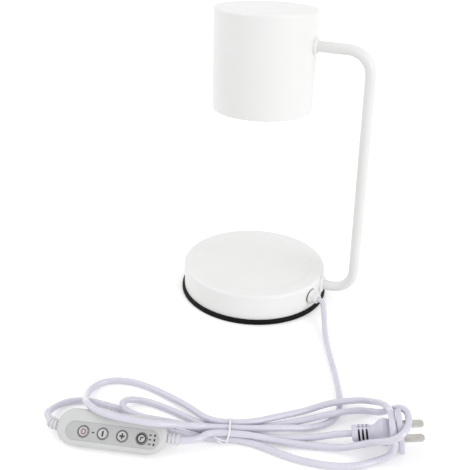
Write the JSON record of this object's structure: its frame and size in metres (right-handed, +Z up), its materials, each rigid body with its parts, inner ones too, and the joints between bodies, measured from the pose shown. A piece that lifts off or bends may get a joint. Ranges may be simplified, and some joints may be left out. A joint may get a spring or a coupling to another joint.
{
  "type": "candle warmer lamp",
  "caption": "Candle warmer lamp: round weighted base, bent tube arm, open-bottomed shade with a reflector bulb, and a tied mains cord with an in-line button controller and plug.",
  "frame": {"origin": "centre of the foot ring's underside, on the table", "axes": "+Z up along the axis of the base and shade; +X towards the arm; -Y towards the tied cord"},
  "size_m": [0.2609, 0.3307, 0.2645],
  "materials": {
    "white_paint": "satin",
    "foot_rubber": "matt",
    "zinc_steel": "satin",
    "weight_iron": "rough",
    "brass_nipple": "satin",
    "holder_ceramic": "glazed",
    "bulb_mirror": "polished",
    "bulb_glass": "polished",
    "bulb_ceramic": "unglazed",
    "gland_plastic": "satin",
    "cord_pvc": "satin",
    "wire_sleeve": "matt",
    "tie_plastic": "matt",
    "housing_plastic": "satin",
    "panel_plastic": "matt",
    "button_plastic": "satin",
    "board_laminate": "satin",
    "switch_plastic": "satin",
    "light_plastic": "polished",
    "plug_pvc": "satin",
    "blade_nickel": "satin"
  },
  "bodies": {
    "lamp": {"base_shell": "white_paint", "foot_ring": "foot_rubber", "base_plate": "zinc_steel", "base_weight": "weight_iron", "base_posts": "zinc_steel", "base_screws": "zinc_steel", "arm_tube": "white_paint", "arm_nipples": "brass_nipple", "collar_lower": "white_paint", "collar_upper": "white_paint", "arm_washers": "zinc_steel", "arm_nuts": "zinc_steel", "shade_shell": "white_paint", "shade_strap": "zinc_steel", "lamp_holder": "holder_ceramic", "holder_screws": "zinc_steel", "lamp_leads": "wire_sleeve", "cord_gland": "gland_plastic", "gland_nut": "gland_plastic", "cord_tail": "cord_pvc", "cord_lamp": "cord_pvc", "cord_mains": "cord_pvc", "twist_tie": "tie_plastic", "controller_base": "housing_plastic", "controller_cap": "housing_plastic", "controller_panel": "panel_plastic", "controller_board": "board_laminate", "controller_screws": "zinc_steel", "button_switches": "switch_plastic", "panel_lights": "light_plastic", "relief_left": "cord_pvc", "relief_right": "cord_pvc", "plug_body": "plug_pvc", "plug_blades": "blade_nickel"},
    "bulb": {"bulb_reflector": "bulb_mirror", "bulb_lens": "bulb_glass", "bulb_capsule": "bulb_glass", "bulb_base": "bulb_ceramic", "bulb_pins": "zinc_steel"},
    "button_power": {"button_power": "button_plastic"},
    "button_minus": {"button_minus": "button_plastic"},
    "button_plus": {"button_plus": "button_plastic"},
    "button_timer": {"button_timer": "button_plastic"}
  },
  "joints": [
    {"name": "bulb_twist", "type": "hinge", "parent": "lamp", "child": "bulb", "pos_m": [0, 0, 0.2388], "axis": [0, 0, 1], "range_deg": [-20, 0]},
    {"name": "press_power", "type": "slide", "parent": "lamp", "child": "button_power", "axis": [-0.1593, 0.5947, -0.788], "range_m": [0, 0.0004], "stiffness_N_per_m": 800, "springref_m": -0.001},
    {"name": "press_minus", "type": "slide", "parent": "lamp", "child": "button_minus", "axis": [-0.1593, 0.5947, -0.788], "range_m": [0, 0.0004], "stiffness_N_per_m": 800, "springref_m": -0.001},
    {"name": "press_plus", "type": "slide", "parent": "lamp", "child": "button_plus", "axis": [-0.1593, 0.5947, -0.788], "range_m": [0, 0.0004], "stiffness_N_per_m": 800, "springref_m": -0.001},
    {"name": "press_timer", "type": "slide", "parent": "lamp", "child": "button_timer", "axis": [-0.1593, 0.5947, -0.788], "range_m": [0, 0.0004], "stiffness_N_per_m": 800, "springref_m": -0.001}
  ]
}
